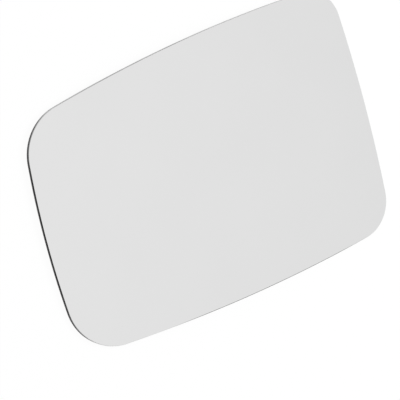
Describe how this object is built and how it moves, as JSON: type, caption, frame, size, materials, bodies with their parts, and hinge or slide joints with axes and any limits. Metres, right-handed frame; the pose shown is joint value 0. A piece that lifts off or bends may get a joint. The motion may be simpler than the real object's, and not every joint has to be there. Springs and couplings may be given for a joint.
{
  "type": "car door mirror glass",
  "caption": "Convex door mirror glass for a car's left-hand side, a thin plate with rounded corners, raked ends and a ground edge.",
  "frame": {"origin": "middle of the plate's box, on the surface that the glass lies on", "axes": "+X along the glass from its outer end to the end beside the car, +Y up the mirror as it is fitted, +Z out of the reflecting face, which faces up because the glass lies on its back"},
  "size_m": [0.1828, 0.1238, 0.0063],
  "materials": {
    "mirror_coated_glass": "bright mirror coating on the front face, dark satin ground edge, matt dark grey painted back"
  },
  "bodies": {
    "root": {"mirror_glass": "mirror_coated_glass"}
  },
  "joints": []
}
